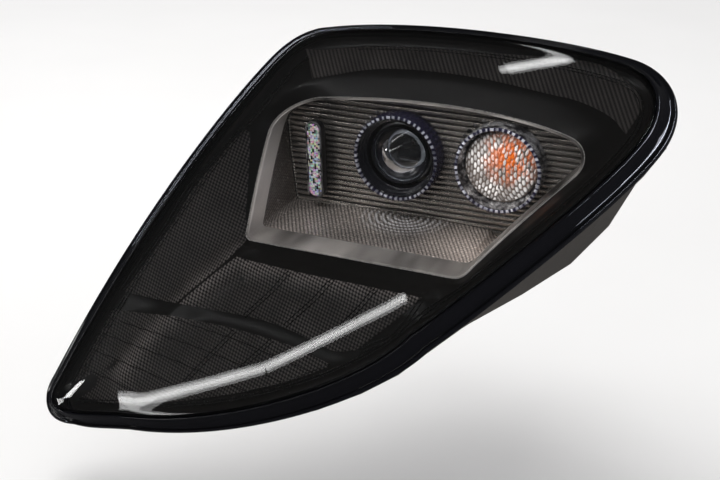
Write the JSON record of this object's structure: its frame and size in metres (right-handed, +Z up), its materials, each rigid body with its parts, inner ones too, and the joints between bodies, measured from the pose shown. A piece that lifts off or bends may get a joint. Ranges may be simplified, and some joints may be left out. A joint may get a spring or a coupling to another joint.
{
  "type": "car headlight assembly",
  "caption": "Raked teardrop car headlight with a projector, turn signal and daytime light strip behind a clear lens, aimed by internal adjusters, bolted on by brackets.",
  "frame": {"origin": "centre of the flat bolting face on top of the upper bracket", "axes": "-Y is the way the lamp shines, +Y into the car, +X to the wheel-arch side, +Z up"},
  "size_m": [0.5191, 0.3633, 0.3558],
  "materials": {
    "clear": "optically clear polycarbonate or glass",
    "amber_glass": "amber coated glass",
    "gloss_black": "gloss black moulding",
    "mask_black": "satin black-brown mask with fine texture",
    "shell_grey": "glass filled plastic, fine grain",
    "black_plastic": "matt black plastic",
    "chrome": "vacuum metallised, satin",
    "dark_chrome": "dark vacuum metallised flutes",
    "rubber": "moulded seal rubber",
    "alloy": "die-cast alloy",
    "steel": "zinc plated steel",
    "nylon": "natural nylon",
    "board": "circuit board lacquer"
  },
  "bodies": {
    "housing": {"housing": "shell_grey", "lens_seal": "rubber", "outer_lens": "clear", "lens_rim": "gloss_black", "bezel": "mask_black", "window_trim": "chrome", "reflector_tray": "dark_chrome", "reflector_panel": "dark_chrome", "drl_light_guide": "clear", "drl_carrier": "black_plastic", "drl_board": "board", "clear_ring": "clear", "projector_shroud": "black_plastic", "turn_bowl": "chrome", "turn_inner_lens": "clear", "pivot_seat_upper": "nylon", "pivot_seat_lower": "nylon", "lateral_nut": "nylon", "levelling_motor": "black_plastic", "motor_gasket": "rubber", "upper_bracket": "steel", "upper_bush": "steel", "lower_bracket": "steel", "lower_bush": "steel", "inner_bracket": "steel", "inner_bush": "steel", "ballast_case": "alloy", "ballast_cover": "black_plastic", "ballast_screw_1": "steel", "ballast_screw_2": "steel", "ballast_screw_3": "steel", "ballast_screw_4": "steel", "connector_socket": "black_plastic", "vent_cap": "rubber"},
    "carrier": {"carrier_frame": "nylon", "trunnion_pin_left": "steel", "trunnion_pin_right": "steel", "pivot_pin_upper": "steel", "pivot_pin_lower": "steel"},
    "projector": {"projector_body": "alloy", "projector_lens": "clear", "lens_retainer": "alloy", "level_arm": "nylon", "burner_base": "nylon", "burner_capsule": "clear", "solenoid": "black_plastic"},
    "bulb_lock": {"bulb_ring": "black_plastic"},
    "shutter": {"shutter_flap": "black_plastic", "shutter_shaft": "steel"},
    "plunger": {"solenoid_plunger": "steel"},
    "leveller": {"leveller_rod": "nylon"},
    "lateral_adjuster": {"lateral_rod": "nylon"},
    "adjuster_knob": {"lateral_screw": "nylon"},
    "cap_seal_ring": {"cap_seal": "rubber"},
    "service_cap": {"rear_cap": "black_plastic"},
    "holder_seal": {"turn_holder_seal": "rubber"},
    "holder": {"turn_bulb_holder": "black_plastic", "turn_bulb": "amber_glass"}
  },
  "joints": [
    {"name": "lateral_aim", "type": "hinge", "parent": "housing", "child": "carrier", "pos_m": [-0.027, -0.046, -0.088], "axis": [0, 0, 1], "range_deg": [-2.5, 2.5]},
    {"name": "height_aim", "type": "hinge", "parent": "carrier", "child": "projector", "pos_m": [-0.027, -0.046, -0.088], "axis": [1, 0, 0], "range_deg": [-2.5, 2.5]},
    {"name": "bulb_ring_turn", "type": "hinge", "parent": "projector", "child": "bulb_lock", "pos_m": [-0.027, 0.033, -0.088], "axis": [0, 1, 0], "range_deg": [0, 20]},
    {"name": "shutter_tilt", "type": "hinge", "parent": "projector", "child": "shutter", "pos_m": [-0.027, -0.046, -0.112], "axis": [1, 0, 0], "range_deg": [0, 35], "stiffness_Nm_per_rad": 0.02, "springref_deg": -11.46},
    {"name": "solenoid_travel", "type": "slide", "parent": "projector", "child": "plunger", "axis": [0, 1, 0], "range_m": [0, 0.0073]},
    {"name": "leveller_travel", "type": "slide", "parent": "housing", "child": "leveller", "axis": [0, 1, 0], "range_m": [-0.0022, 0.0022]},
    {"name": "lateral_travel", "type": "slide", "parent": "housing", "child": "lateral_adjuster", "axis": [0, 1, 0], "range_m": [-0.00265, 0.00265]},
    {"name": "lateral_screw_turn", "type": "hinge", "parent": "housing", "child": "adjuster_knob", "pos_m": [0.033, 0.054, -0.088], "axis": [0, 1, 0], "range_deg": [-315, 315]},
    {"name": "cap_pull", "type": "slide", "parent": "housing", "child": "cap_seal_ring", "axis": [0, 1, 0], "range_m": [0, 0.04]},
    {"name": "cap_turn", "type": "hinge", "parent": "cap_seal_ring", "child": "service_cap", "pos_m": [-0.027, 0.05, -0.079], "axis": [0, 1, 0], "range_deg": [0, 30]},
    {"name": "holder_pull", "type": "slide", "parent": "housing", "child": "holder_seal", "axis": [0, 1, 0], "range_m": [0, 0.035]},
    {"name": "holder_turn", "type": "hinge", "parent": "holder_seal", "child": "holder", "pos_m": [0.0665, -0.016, -0.0855], "axis": [0, 1, 0], "range_deg": [0, 45]}
  ],
  "couplings": [
    {"joint": "leveller_travel", "follows": "height_aim", "m_per_rad": 0.05},
    {"joint": "lateral_travel", "follows": "lateral_aim", "m_per_rad": 0.06},
    {"joint": "lateral_screw_turn", "follows": "lateral_aim", "ratio": 125.66},
    {"joint": "shutter_tilt", "follows": "solenoid_travel", "rad_per_m": 83.333}
  ]
}
